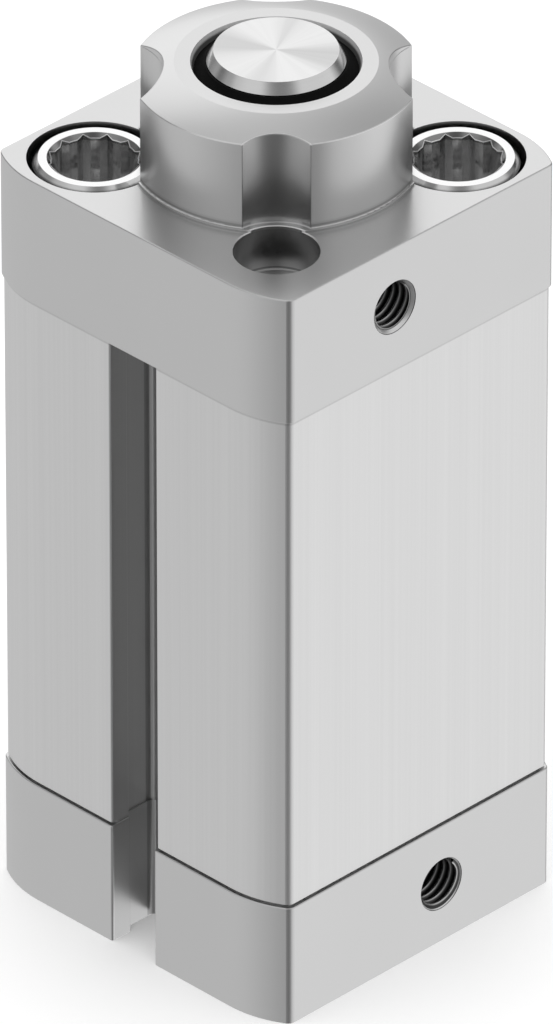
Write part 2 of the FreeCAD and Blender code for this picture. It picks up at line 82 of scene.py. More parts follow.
class Value:
    """Number socket for Python expressions, in which each operation adds a Math node."""

    def __init__(self, tree: "ShaderTree", socket: Socket) -> None:
        """Wraps one output socket of a tree."""
        self.tree = tree
        self.socket = socket

    def math(self, operation: str, *operands: Number) -> "Value":
        """Adds a Math node.

        Args:
            operation: Blender's name for the operation.
            operands: Numbers or values for the node's inputs, in order.

        Returns:
            The node's result.
        """
        node = self.tree.node("ShaderNodeMath", {"operation": operation}, dict(enumerate(operands)))
        return Value(self.tree, node.outputs[0])

    def __add__(self, other: Number) -> "Value":
        """Adds a number or a value."""
        return self.math("ADD", self, other)

    def __radd__(self, other: Number) -> "Value":
        """Adds to a number."""
        return self.math("ADD", other, self)

    def __sub__(self, other: Number) -> "Value":
        """Takes a number or a value away."""
        return self.math("SUBTRACT", self, other)

    def __rsub__(self, other: Number) -> "Value":
        """Takes the value away from a number."""
        return self.math("SUBTRACT", other, self)

    def __mul__(self, other: Number) -> "Value":
        """Multiplies by a number or a value."""
        return self.math("MULTIPLY", self, other)

    def __rmul__(self, other: Number) -> "Value":
        """Multiplies a number."""
        return self.math("MULTIPLY", other, self)

    def __pow__(self, exponent: Number) -> "Value":
        """Raises to a power."""
        return self.math("POWER", self, exponent)

    def __abs__(self) -> "Value":
        """Leaves the sign out."""
        return self.math("ABSOLUTE", self)

    def at_least(self, floor: Number) -> "Value":
        """Raises what is lower to a number or a value."""
        return self.math("MAXIMUM", self, floor)

    def at_most(self, ceiling: Number) -> "Value":
        """Lowers what is higher to a number or a value."""
        return self.math("MINIMUM", self, ceiling)

    def swing(self, spread: float) -> "Value":
        """Turns noise from 0 to 1 into a change round zero with a whole spread."""
        return (self - 0.5) * spread

    def beyond(self, span: Span) -> "Value":
        """Distance in metres outside a span in millimetres, below 0 inside it."""
        low, high = span
        return abs(self - (low + high) / 2 * MM) - (high - low) / 2 * MM

    def smooth(self, span: Span, unit: float = 1.0) -> "Value":
        """Eases from 0 at the low end of a span to 1 at its high end.

        Args:
            span: Values at which the result is 0 and 1.
            unit: Size of the span's unit, which is MM for a value in metres.

        Returns:
            The eased value.
        """
        low, high = span
        node = self.tree.node(
            "ShaderNodeMapRange",
            {"interpolation_type": "SMOOTHSTEP"},
            {"Value": self, "From Min": low * unit, "From Max": high * unit},
        )
        return Value(self.tree, node.outputs["Result"])


def grey(level: float) -> Triple:
    """Neutral colour."""
    return (level, level, level)


class ShaderTree:
    """Node tree of a material or of the world."""

    def __init__(self, tree: bpy.types.NodeTree) -> None:
        """Empties the tree."""
        self.tree = tree
        tree.nodes.clear()

    def node(
        self,
        kind: str,
        settings: Optional[Mapping[str, Any]] = None,
        inputs: Optional[Mapping[Union[int, str], Any]] = None,
    ) -> bpy.types.Node:
        """Adds a node.

        Args:
            kind: Blender's type name of the node.
            settings: Properties of the node, which are set first.
            inputs: Numbers, colours, values or sockets for its inputs, by name or place.

        Returns:
            The new node.
        """
        node = self.tree.nodes.new(kind)
        for name, setting in (settings or {}).items():
            setattr(node, name, setting)
        for place, given in (inputs or {}).items():
            source = given.socket if isinstance(given, Value) else given
            if isinstance(source, Socket):
                self.tree.links.new(source, node.inputs[place])
            else:
                node.inputs[place].default_value = source
        return node

    def vector_math(self, operation: str, *operands: Union[Socket, Sequence[float]]) -> Mapping[str, Socket]:
        """Adds a Vector Math node.

        Args:
            operation: Blender's name for the operation.
            operands: Sockets or fixed vectors for the node's inputs, in order.

        Returns:
            The node's outputs.
        """
        settings = {"operation": operation}
        return self.node("ShaderNodeVectorMath", settings, dict(enumerate(operands))).outputs

    def coordinates(self, output: str = "Object") -> Socket:
        """Texture coordinates: the CAD frame in metres, or the direction in a world."""
        return self.node("ShaderNodeTexCoord").outputs[output]

    def axes(self, vector: Socket) -> tuple[Value, Value, Value]:
        """Splits a vector into its three values."""
        outputs = self.node("ShaderNodeSeparateXYZ", inputs={"Vector": vector}).outputs
        return Value(self, outputs["X"]), Value(self, outputs["Y"]), Value(self, outputs["Z"])

    def dot(self, vector: Socket, direction: Triple) -> Value:
        """Share of a vector along a fixed direction."""
        return Value(self, self.vector_math("DOT_PRODUCT", vector, direction)["Value"])

    def stretched(self, vector: Socket, factors: Triple) -> Socket:
        """Vector with each axis multiplied by its own factor."""
        return self.vector_math("MULTIPLY", vector, factors)["Vector"]

    def unit(self, vector: Socket) -> Socket:
        """Vector of length 1 in the same direction."""
        return self.vector_math("NORMALIZE", vector)["Vector"]

    def apart(self, vector: Socket, point: Vector) -> Socket:
        """Distance of a place from a point along each axis, without its sign."""
        away = self.vector_math("SUBTRACT", vector, point)["Vector"]
        return self.vector_math("ABSOLUTE", away)["Vector"]

    def mirrored(self, vector: Socket) -> Socket:
        """Place mirrored to the right and the back, which leaves out the signs of its axes."""
        return self.apart(vector, Vector())

    def distance(self, vector: Socket, point: Vector) -> Value:
        """Straight distance of a place from a point."""
        return Value(self, self.vector_math("DISTANCE", vector, point)["Value"])

    def radius(self, vector: Socket, axis: Pair = ROD_AXIS) -> Value:
        """Distance of a place from an upright axis, in metres."""
        return self.distance(self.stretched(vector, SIDEWAYS), Vector((*axis, 0.0)) * MM)

    def beyond(self, vector: Socket, centre: Vector, half: Vector) -> Value:
        """Distance by which a place lies outside a box.

        Args:
            vector: Place on the surface, in metres.
            centre: Middle of the box, in metres.
            half: Half its lengths, in metres.

        Returns:
            The largest overshoot of the three axes, below 0 inside the box.
        """
        over = self.vector_math("SUBTRACT", self.apart(vector, centre), half)["Vector"]
        x, y, z = self.axes(over)
        return x.at_least(y.at_least(z))

    def noise(self, vector: Socket, scale: float, detail: float = 2.0) -> Value:
        """Soft noise from 0 to 1.

        Args:
            vector: Place on the surface, in metres.
            scale: Waves to the metre.
            detail: Octaves of finer noise.

        Returns:
            The noise.
        """
        node = self.node("ShaderNodeTexNoise", inputs={"Vector": vector, "Scale": scale, "Detail": detail})
        return Value(self, node.outputs[0])

    def lines(self, track: Value, scale: float, detail: float) -> Value:
        """Noise along one length, for marks that run across it.

        Args:
            track: Length along which the marks change, in metres.
            scale: Marks to the metre.
            detail: Octaves of finer marks.

        Returns:
            The noise, from 0 to 1.
        """
        inputs = {"W": track, "Scale": scale, "Detail": detail}
        return Value(self, self.node("ShaderNodeTexNoise", {"noise_dimensions": "1D"}, inputs).outputs[0])

    def blend(self, factor: Number, first: Triple, second: Triple) -> Socket:
        """Mixes two colours.

        Args:
            factor: Share of the second colour.
            first: Colour at 0.
            second: Colour at 1.

        Returns:
            The mixed colour.
        """
        inputs = {MIX_FACTOR: factor, MIX_FIRST: (*first, 1.0), MIX_SECOND: (*second, 1.0)}
        return self.node("ShaderNodeMix", {"data_type": "RGBA"}, inputs).outputs[MIX_RESULT]

    def neutral(self, level: Value) -> Socket:
        """Neutral colour of a level that varies."""
        return self.blend(level, grey(0.0), grey(1.0))

    def relief(self, height: Value, depth: float, under: Optional[Socket] = None) -> Socket:
        """Normal of a surface with fine relief.

        Args:
            height: Height of the relief, as a factor of the depth.
            depth: Depth for a height of 1, in millimetres.
            under: Normal that the relief lies on, the surface's own where there is none.

        Returns:
            The normal.
        """
        inputs = {"Height": height, "Distance": depth * MM, "Strength": 1.0}
        if under is not None:
            inputs["Normal"] = under
        return self.node("ShaderNodeBump", inputs=inputs).outputs["Normal"]

    def surface(self, **inputs: Any) -> None:
        """Ends the tree in a Principled shader.

        Args:
            inputs: The shader's inputs, with underscores for the spaces in their names.
        """
        named = {name.replace("_", " "): given for name, given in inputs.items()}
        shader = self.node("ShaderNodeBsdfPrincipled", inputs=named)
        self.node("ShaderNodeOutputMaterial", inputs={"Surface": shader.outputs["BSDF"]})


@dataclass(frozen=True)
class ScrewEnd:
    """End of the housing with a pair of collar screws, whose sockets run inwards from the mouth's level."""

    name: str
    mouth: float
    inwards: float


@dataclass(frozen=True)
class SupplyPort:
    """Tapped supply port on the -Y face, with its entry cone and the lead of its first thread turn."""

    name: str
    across: float
    level: float
    entry_depth: float
    lead: float
    # Painted light on the thread near the port's mouth: darker below 0, lighter above 0
    mouth_painted_light: float

    def inside(self, out: float, rise: float = 0.0) -> Triple:
        """Mirrored place in the port, at a distance from the rod's axis and a rise over the port's own."""
        return (abs(self.across), out, self.level + rise)


SCREW_ENDS = (ScrewEnd("top", 73.5, -1.0), ScrewEnd("base", 0.5, 1.0))
FRONT_PORT = SupplyPort("front", -3.38, 67.5, entry_depth=0.31, lead=0.0, mouth_painted_light=-0.20)
REAR_PORT = SupplyPort("rear", 2.65, 5.9, entry_depth=0.14, lead=0.55, mouth_painted_light=0.16)


@dataclass(frozen=True)
class PaintedLightPlace:
    """Place with painted shade or a painted highlight, darker or lighter than on open faces, with a soft
    edge round it.

    It stands for its mirror images left and right, and front and back, as well.
    """

    share: float
    soft: float

    def outside(self, tree: ShaderTree, mirrored: Socket) -> Value:
        """Distance outside the place, in metres."""
        raise NotImplementedError

    def clear(self, tree: ShaderTree, mirrored: Socket) -> Value:
        """How clear of the place a point is: 0 inside it and 1 beyond its soft edge."""
        return self.outside(tree, mirrored).smooth((0.0, self.soft), MM)

    def tone(self, tree: ShaderTree, mirrored: Socket) -> Value:
        """Share of the open finish's brightness: 1 away from the place and its own share inside it."""
        return self.share + self.clear(tree, mirrored) * (1 - self.share)


@dataclass(frozen=True)
class PaintedLightBox(PaintedLightPlace):
    """Box of painted shade or of a painted highlight round a slot, hole or port."""

    centre: Triple
    half: Triple

    def outside(self, tree: ShaderTree, mirrored: Socket) -> Value:
        """Distance outside the box."""
        return tree.beyond(mirrored, Vector(self.centre) * MM, Vector(self.half) * MM)


@dataclass(frozen=True)
class PaintedLightRing(PaintedLightPlace):
    """Band of painted shade or of a painted highlight round an upright axis, from one radius and level to
    another.
    """

    axis: Pair
    radii: Span
    levels: Span

    def outside(self, tree: ShaderTree, mirrored: Socket) -> Value:
        """Distance outside the band.

        Args:
            tree: Tree to build in.
            mirrored: Point on the surface, mirrored to the right and back, in metres.

        Returns:
            The larger of the overshoots across and along the axis, below 0 inside the band.
        """
        radius = tree.radius(mirrored, self.axis)
        level = tree.axes(mirrored)[2]
        return radius.beyond(self.radii).at_least(level.beyond(self.levels))

    def sunk(self, end: ScrewEnd) -> "PaintedLightRing":
        """Same band, whose levels are depths below the mouth of a screw's socket."""
        levels = sorted(end.mouth + end.inwards * depth for depth in self.levels)
        return replace(self, levels=tuple(levels))


@dataclass(frozen=True)
class FadingPaintedLightRing(PaintedLightRing):
    """Band of painted light that fades out between two distances from the rod's axis."""

    fade: Span

    def tone(self, tree: ShaderTree, mirrored: Socket) -> Value:
        """Share of the open finish's brightness, which fades to 1 along the band."""
        share = super().tone(tree, mirrored)
        return share + (1 - share) * tree.radius(mirrored).smooth(self.fade, MM)


# Painted shade (share below 1) and painted highlights (above 1, or matt spots) of the barrel and caps:
# share, soft edge, then where they are
SENSOR_SLOT_SHADE = PaintedLightBox(0.83, 0.1, (14.4, 0.0, 30.7), (2.9, 3.5, 30.6))
SLOT_CORNER_SHADE = PaintedLightBox(0.65, 0.12, (12.38, 3.45, 30.7), (0.20, 0.15, 30.6))
# Painted highlight line on the barrel's side of the slot step
BARREL_SLOT_STEP_HIGHLIGHT = PaintedLightBox(1.20, 0.05, (15.45, 2.75, 36.0), (0.02, 0.04, 25.0))
END_SLOT_STEP_SHADE = PaintedLightBox(0.70, 0.04, (15.43, 2.62, 6.0), (0.02, 0.06, 6.0))
BARREL_HEAD_SHADE = PaintedLightBox(0.80, 0.12, (0.0, 0.0, 61.1), (18.0, 18.0, 0.12))
COUNTERBORE_SHADE = PaintedLightBox(0.85, 0.1, (*CORNER_AXIS, 71.45), (3.9, 3.9, 1.95))
# Made matt so that diffuse light lights it: a painted highlight on the counterbore's floor
COUNTERBORE_FLOOR_HIGHLIGHT = PaintedLightRing(0.50, 0.15, CORNER_AXIS, (3.58, 3.78), (69.40, 69.52))
COUNTERBORE_FOOT_SHADE = PaintedLightRing(0.50, 0.06, CORNER_AXIS, (3.60, 3.80), (69.58, 69.72))
# Made matt: a painted highlight line on the counterbore's rim, fading out away from the rod's axis
COUNTERBORE_RIM_HIGHLIGHT = FadingPaintedLightRing(0.15, 0.03, CORNER_AXIS, (3.79, 3.95), (73.45, 73.73), (12.4, 14.6))
NOTCH_SHADE = PaintedLightRing(0.80, 0.04, CORNER_AXIS, (0.0, 4.55), (73.75, 83.2))
# Painted highlight line along the rim of each screw notch
NOTCH_RIM_HIGHLIGHT = PaintedLightRing(1.40, 0.02, CORNER_AXIS, (4.53, 4.62), (81.9, 82.6))
# Made matt: a painted highlight on the wall of the wiper's mouth
WIPER_MOUTH_HIGHLIGHT = PaintedLightRing(0.35, 0.04, ROD_AXIS, (7.0, 7.41), (82.2, 83.08))
WIPER_MOUTH_FOOT_SHADE = PaintedLightRing(0.15, 0.25, ROD_AXIS, (7.0, 7.41), (82.2, 82.6))
COLLAR_FOOT_SHADE = PaintedLightRing(0.70, 0.12, ROD_AXIS, (11.9, 12.50), (73.87, 74.0))
COLLAR_FOOT_SHADE_FADE = PaintedLightRing(0.85, 0.30, ROD_AXIS, (11.9, 12.50), (74.0, 74.1))
# Painted highlight line along the collar's rim
COLLAR_RIM_HIGHLIGHT = PaintedLightRing(1.30, 0.03, ROD_AXIS, (12.36, 12.50), (81.95, 82.02))
PLATE_JOINT_SHADE = PaintedLightRing(0.80, 0.12, ROD_AXIS, (12.60, 12.78), (73.4, 73.52))
FRONT_PORT_BORE_SHADE = PaintedLightBox(0.14, 0.02, FRONT_PORT.inside(14.8), (2.6, 2.82, 2.6))
REAR_PORT_BORE_SHADE = PaintedLightBox(0.14, 0.02, REAR_PORT.inside(14.8), (2.6, 2.82, 2.6))
FRONT_PORT_ROOF_SHADE = PaintedLightBox(0.25, 1.8, FRONT_PORT.inside(17.4, rise=3.0), (2.7, 0.6, 1.0))
REAR_PORT_ROOF_SHADE = PaintedLightBox(0.5, 1.8, REAR_PORT.inside(17.4, rise=3.0), (2.7, 0.6, 1.0))

# Painted shade on a collar screw, with depths below the mouth of its socket for levels
HEAD_BEVEL_SHADE = PaintedLightRing(0.20, 0.20, CORNER_AXIS, (5.32, 5.80), (0.30, 5.50))
LEAD_IN_SHADE = PaintedLightRing(0.40, 0.04, CORNER_AXIS, (0.0, 4.12), (0.03, 0.60))
SOCKET_SHADE = PaintedLightRing(0.75, 0.04, CORNER_AXIS, (0.0, 4.20), (0.60, 13.50))
SCREW_SHADE_PLACES = tuple(place.sunk(end) for end in SCREW_ENDS for place in (HEAD_BEVEL_SHADE, LEAD_IN_SHADE, SOCKET_SHADE))


class Finish:
    """Finish of a surface, which makes its material once and shares it."""

    name: str

    def tone(self, tree: ShaderTree, places: Sequence[PaintedLightPlace]) -> Number:
        """Share of a property of the finish that a row of painted shade and highlight places leaves."""
        mirrored = tree.mirrored(tree.coordinates())
        return math.prod((place.tone(tree, mirrored) for place in places), start=1.0)

    def material(self) -> bpy.types.Material:
        """Makes the material when it is first asked for.

        Returns:
            The material of this finish.
        """
        known = bpy.data.materials.get(self.name)
        if known is not None:
            return known
        made = bpy.data.materials.new(self.name)
        made.use_nodes = True
        self.shade(ShaderTree(made.node_tree))
        return made

    def shade(self, tree: ShaderTree) -> None:
        """Builds the shader in an empty tree."""
        raise NotImplementedError


@dataclass(frozen=True)
class BlastedAnodised(Finish):
    """Fine-blasted and anodised aluminium, as on the caps."""

    name: str = "finish_blasted_anodised"
    level: float = 0.70
    spread: float = 0.024
    roughness: float = 0.30
    roughness_spread: float = 0.05
    grain_scale: float = 9000.0
    grain_depth: float = 0.0004
    cloud_scale: float = 90.0
    crown_radii: Span = (8.78, 12.45)
    crown_level: float = 82.0
    crown_edge: float = 0.1
    crown_swell: float = 0.025
    rim_highlight_ends: Span = (-9.3, -6.2)
    # Painted shade in recesses and joints, and painted highlight lines on steps and rims
    painted_light_places: tuple[PaintedLightPlace, ...] = (
        SENSOR_SLOT_SHADE,
        SLOT_CORNER_SHADE,
        END_SLOT_STEP_SHADE,
        COUNTERBORE_SHADE,
        COUNTERBORE_FOOT_SHADE,
        NOTCH_SHADE,
        FRONT_PORT_BORE_SHADE,
        REAR_PORT_BORE_SHADE,
        NOTCH_RIM_HIGHLIGHT,
        COLLAR_FOOT_SHADE,
        COLLAR_FOOT_SHADE_FADE,
        PLATE_JOINT_SHADE,
        WIPER_MOUTH_FOOT_SHADE,
    )
    # Spots made less metallic, so that diffuse light brightens them as painted highlights
    matt_highlight_places: tuple[PaintedLightPlace, ...] = (WIPER_MOUTH_HIGHLIGHT, COUNTERBORE_FLOOR_HIGHLIGHT, COUNTERBORE_RIM_HIGHLIGHT)

    def crown(self, tree: ShaderTree, place: Socket) -> Value:
        """Swell of the collar's crown between its land and its rim.

        Args:
            tree: Tree to build in.
            place: Place on the surface, in metres.

        Returns:
            The height, as a factor of the swell.
        """
        x, y, z = tree.axes(place)
        low, high = self.crown_radii
        radius = (x * x + y * y) ** 0.5 * (1 / MM)
        kept = radius.at_least(low).at_most(high)
        above = z.smooth((self.crown_level - self.crown_edge, self.crown_level), MM)
        return (kept - low) * (high - kept) * above * NOTCH_SHADE.clear(tree, tree.mirrored(place))

    def rim(self, tree: ShaderTree, place: Socket) -> Value:
        """Painted highlight along the collar's rim, as a share of brightness, lighter away from its left
        end.
        """
        side = tree.dot(place, PHOTO_RIGHT).smooth(self.rim_highlight_ends, MM)
        return 1 + (COLLAR_RIM_HIGHLIGHT.tone(tree, tree.mirrored(place)) - 1) * side

    def shade(self, tree: ShaderTree) -> None:
        """Satin metal with a fine grain, with painted shade, painted highlights and matt spots that act as
        painted highlights.

        Args:
            tree: Empty tree to build in.
        """
        place = tree.coordinates()
        grain = tree.noise(place, self.grain_scale)
        cloud = tree.noise(place, self.cloud_scale)
        level = (self.level + cloud.swing(self.spread)) * self.rim(tree, place)
        swell = tree.relief(self.crown(tree, place), self.crown_swell)
        tree.surface(
            Base_Color=tree.neutral(level * self.tone(tree, self.painted_light_places)),
            Roughness=self.roughness + grain.swing(self.roughness_spread),
            Normal=tree.relief(grain, self.grain_depth, swell),
            Metallic=self.tone(tree, self.matt_highlight_places),
        )


@dataclass(frozen=True)
class DrawnAnodised(Finish):
    """Anodised extrusion with the die's fine lines along its length."""

    name: str = "finish_drawn_anodised"
    level: float = 0.80
    spread: float = 0.13
    roughness: float = 0.34
    roughness_spread: float = 0.08
    line_scale: float = 3200.0
    line_share: float = 0.6
    line_depth: float = 0.0006
    band_scale: float = 520.0
    stretch: float = 0.004
    painted_light_places: tuple[PaintedLightPlace, ...] = (SENSOR_SLOT_SHADE, SLOT_CORNER_SHADE, BARREL_SLOT_STEP_HIGHLIGHT, BARREL_HEAD_SHADE)

    def shade(self, tree: ShaderTree) -> None:
        """Satin metal with lengthwise lines and broader bands, painted shade in the slots and under the
        bearing cap, and a painted highlight line on the slot step.

        Args:
            tree: Empty tree to build in.
        """
        along = tree.stretched(tree.coordinates(), (1.0, 1.0, self.stretch))
        lines = tree.noise(along, self.line_scale, detail=3.0)
        bands = tree.noise(along, self.band_scale, detail=1.0)
        marks = lines * self.line_share + bands * (1 - self.line_share)
        level = self.level + marks.swing(self.spread)
        tree.surface(
            Base_Color=tree.neutral(level * self.tone(tree, self.painted_light_places)),
            Roughness=self.roughness + lines.swing(self.roughness_spread),
            Normal=tree.relief(lines, self.line_depth),
            Metallic=1.0,
        )


@dataclass(frozen=True)
class TurnedMetal(Finish):
    """Metal turned about the rod axis, with fine rings on faces and sides."""

    name: str = "finish_turned_piston"
    level: float = 0.78
    spread: float = 0.06
    roughness: float = 0.30
    roughness_spread: float = 0.10
    anisotropy: float = 0.40
    ring_scale: float = 7000.0
    ring_depth: float = 0.001
    side_radius: float = 9.6
    side_edge: float = 0.1
    side_level: float = 0.78
    side_roughness: float = 0.26
    streak_scale: float = 5.0
    streak_spread: float = 0.10
    # Directions of broad painted highlight fans across the turned end
    highlight_fans: tuple[Triple, ...] = ()
    highlight_fan_lift: float = 0.0
    highlight_fan_reach: Span = (0.72, 1.0)

    def end_streaks_and_sheen(self, tree: ShaderTree, place: Socket) -> Value:
        """Fine streaks, partly lathe marks and partly painted sheen, and broad painted highlight fans across
        a turned end.

        Args:
            tree: Tree to build in.
            place: Place on the surface, in metres.

        Returns:
            The change of level.
        """
        outwards = tree.unit(tree.stretched(place, SIDEWAYS))
        change = tree.noise(outwards, self.streak_scale, detail=4.0).swing(self.streak_spread)
        for fan in self.highlight_fans:
            change = change + abs(tree.dot(outwards, fan)).smooth(self.highlight_fan_reach) * self.highlight_fan_lift
        return change

    def shade(self, tree: ShaderTree) -> None:
        """Bright metal with rings round the axis, streaked and painted with highlight fans across its ends,
        and polished on its side.

        Args:
            tree: Empty tree to build in.
        """
        place = tree.coordinates()
        x, y, z = tree.axes(place)
        radius = (x * x + y * y) ** 0.5
        rings = tree.lines(radius + z, self.ring_scale, detail=3.0)
        side = radius.smooth((self.side_radius - self.side_edge, self.side_radius), MM)
        end = self.level + self.end_streaks_and_sheen(tree, place)
        level = end + side * (self.side_level - end) + rings.swing(self.spread)
        roughness = self.roughness + side * (self.side_roughness - self.roughness)
        tree.surface(
            Base_Color=tree.neutral(level),
            Roughness=roughness + rings.swing(self.roughness_spread),
            Normal=tree.relief(rings, self.ring_depth),
            Metallic=1.0,
            Anisotropic=self.anisotropy,
        )


@dataclass(frozen=True)
class BrightPlating(Finish):
    """Smooth plated steel with faint handling marks."""

    name: str = "finish_bright_plating"
    level: float = 0.84
    spread: float = 0.06
    roughness: float = 0.16
    roughness_spread: float = 0.10
    mark_scale: float = 700.0
    mark_depth: float = 0.0008
    painted_light_places: tuple[PaintedLightPlace, ...] = SCREW_SHADE_PLACES

    def shade(self, tree: ShaderTree) -> None:
        """Bright metal, a little uneven, with painted shade where its places lie.

        Args:
            tree: Empty tree to build in.
        """
        marks = tree.noise(tree.coordinates(), self.mark_scale, detail=4.0)
        level = self.level + marks.swing(self.spread)
        tree.surface(
            Base_Color=tree.neutral(level * self.tone(tree, self.painted_light_places)),
            Roughness=self.roughness + marks.swing(self.roughness_spread),
            Normal=tree.relief(marks, self.mark_depth),
            Metallic=1.0,
        )


@dataclass(frozen=True)
class PortThreadMetal(Finish):
    """Tapped metal of the ports, with painted shade in the roots of the thread and lighter crests."""

    name: str
    mouth_painted_light: float
    mouth: Span = (16.6, 17.2)
    root_shade_level: float = 0.07
    crest_level: float = 0.46
    root_radius: float = 2.24
    crest_radius: float = 2.09
    roughness: float = 0.30
    roughness_spread: float = 0.1
    grain_scale: float = 4000.0
    grain_depth: float = 0.001
    ports: tuple[SupplyPort, SupplyPort] = (FRONT_PORT, REAR_PORT)

    def shade(self, tree: ShaderTree) -> None:
        """Metal with painted shade towards the roots of its thread and a painted change of level near the
        port's mouth.

        Args:
            tree: Empty tree to build in.
        """
        place = tree.coordinates()
        near = (-1 * tree.axes(place)[1]).smooth(self.mouth, MM)
        flat = tree.stretched(place, (1.0, 0.0, 1.0))
        axes = [Vector((port.across, 0.0, port.level)) * MM for port in self.ports]
        first, second = (tree.distance(flat, axis) for axis in axes)
        crest = 1 - first.at_most(second).smooth((self.crest_radius, self.root_radius), MM)
        level = crest * (self.crest_level + near * self.mouth_painted_light) + self.root_shade_level
        grain = tree.noise(place, self.grain_scale)
        tree.surface(
            Base_Color=tree.neutral(level),
            Roughness=self.roughness + grain.swing(self.roughness_spread),
            Normal=tree.relief(grain, self.grain_depth),
            Metallic=1.0,
        )


@dataclass(frozen=True)
class MouldedFinish(Finish):
    """Moulded rubber, elastomer or plastic with a matt skin."""

    name: str
    dark: Triple
    light: Triple
    roughness: float
    roughness_spread: float = 0.12
    grain_scale: float = 2600.0
    grain_depth: float = 0.003
    specular: float = 0.5

    def shade(self, tree: ShaderTree) -> None:
        """Matt surface with a moulded grain.

        Args:
            tree: Empty tree to build in.
        """
        grain = tree.noise(tree.coordinates(), self.grain_scale, detail=3.0)
        tree.surface(
            Base_Color=tree.blend(grain, self.dark, self.light),
            Roughness=self.roughness + grain.swing(self.roughness_spread),
            Normal=tree.relief(grain, self.grain_depth),
            Specular_IOR_Level=self.specular,
        )


@dataclass(frozen=True)
class SinteredBronze(Finish):
    """Oil-filled sintered bronze with open pores."""

    name: str = "finish_sintered_bronze"
    metal: Triple = (0.52, 0.36, 0.20)
    pore: Triple = (0.16, 0.10, 0.06)
    pore_scale: float = 5200.0
    pore_edges: Span = (0.40, 0.60)
    pore_depth: float = 0.01
    roughness: float = 0.38
    pore_roughness: float = 0.3

    def shade(self, tree: ShaderTree) -> None:
        """Bronze metal, darker and rougher in its pores.

        Args:
            tree: Empty tree to build in.
        """
        pores = tree.noise(tree.coordinates(), self.pore_scale, detail=3.0).smooth(self.pore_edges)
        tree.surface(
            Base_Color=tree.blend(pores, self.pore, self.metal),
            Roughness=self.roughness + (1 - pores) * self.pore_roughness,
            Normal=tree.relief(pores, self.pore_depth),
            Metallic=1.0,
        )


@dataclass(frozen=True)
class FloorFinish(Finish):
    """Pale studio floor that the camera sees as white."""

    name: str = "studio_floor"
    level: float = 0.88
    lift: float = 0.19

    def shade(self, tree: ShaderTree) -> None:
        """Matt grey with a glow that only the camera sees.

        Args:
            tree: Empty tree to build in.
        """
        seen = Value(tree, tree.node("ShaderNodeLightPath").outputs["Is Camera Ray"])
        tree.surface(
            Base_Color=(*grey(self.level), 1.0),
            Roughness=1.0,
            Specular_IOR_Level=0.0,
            Emission_Color=tree.neutral(seen),
            Emission_Strength=self.lift,
        )


CAP_FINISH = BlastedAnodised()
# Entry cones, with painted shade under the upper edge of each port's mouth
ENTRY_FINISH = BlastedAnodised(
    "finish_port_entry", level=0.86, painted_light_places=(FRONT_PORT_ROOF_SHADE, REAR_PORT_ROOF_SHADE)
)
BARREL_FINISH = DrawnAnodised()
SCREW_FINISH = BrightPlating()
# Bright cords laid along the socket edges, as painted highlights
EDGE_HIGHLIGHT_FINISH = BrightPlating("finish_burnished_edge", level=0.95, roughness=0.36, painted_light_places=())
BUSH_FINISH = SinteredBronze()
ROD_FINISH = TurnedMetal(
    name="finish_turned_rod",
    level=0.64,
    spread=0.04,
    roughness=0.32,
    roughness_spread=0.06,
    anisotropy=0.25,
    ring_scale=9000.0,
    ring_depth=0.0004,
    side_radius=5.45,
    side_level=0.86,
    side_roughness=0.14,
    streak_scale=6.0,
    streak_spread=0.12,
    # Directions of the painted highlight fans on the rod's end
    highlight_fans=((-0.391, -0.920, 0.0), (-0.990, 0.141, 0.0)),
    highlight_fan_lift=0.18,
)
PISTON_FINISH = TurnedMetal()
SEAL_FINISH = MouldedFinish("finish_seal_rubber", grey(0.002), grey(0.005), 0.60, specular=0.06)
BUFFER_FINISH = MouldedFinish("finish_buffer_rubber", (0.07, 0.06, 0.05), (0.10, 0.09, 0.07), 0.55)
MAGNET_FINISH = MouldedFinish("finish_magnet_compound", grey(0.07), grey(0.13), 0.60)
GUIDE_FINISH = MouldedFinish("finish_guide_plastic", (0.12, 0.14, 0.12), (0.17, 0.19, 0.16), 0.42)
FLOOR_FINISH = FloorFinish()


def dress(node: str, finish: Finish) -> bpy.types.Object:
    """Gives a CAD node its finish.

    Args:
        node: Name of the CAD node.
        finish: Finish of its whole surface.

    Returns:
        The node's object.
    """
    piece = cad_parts[node]
    piece.material_slots[0].material = finish.material()
    return piece


def placed(name: str, data: bpy.types.ID) -> bpy.types.Object:
    """Puts a mesh, lamp or camera into the scene.

    Args:
        name: Name of the object.
        data: Its mesh, lamp or camera.

    Returns:
        The new object.
    """
    made = bpy.data.objects.new(name, data)
    bpy.context.scene.collection.objects.link(made)
    return made


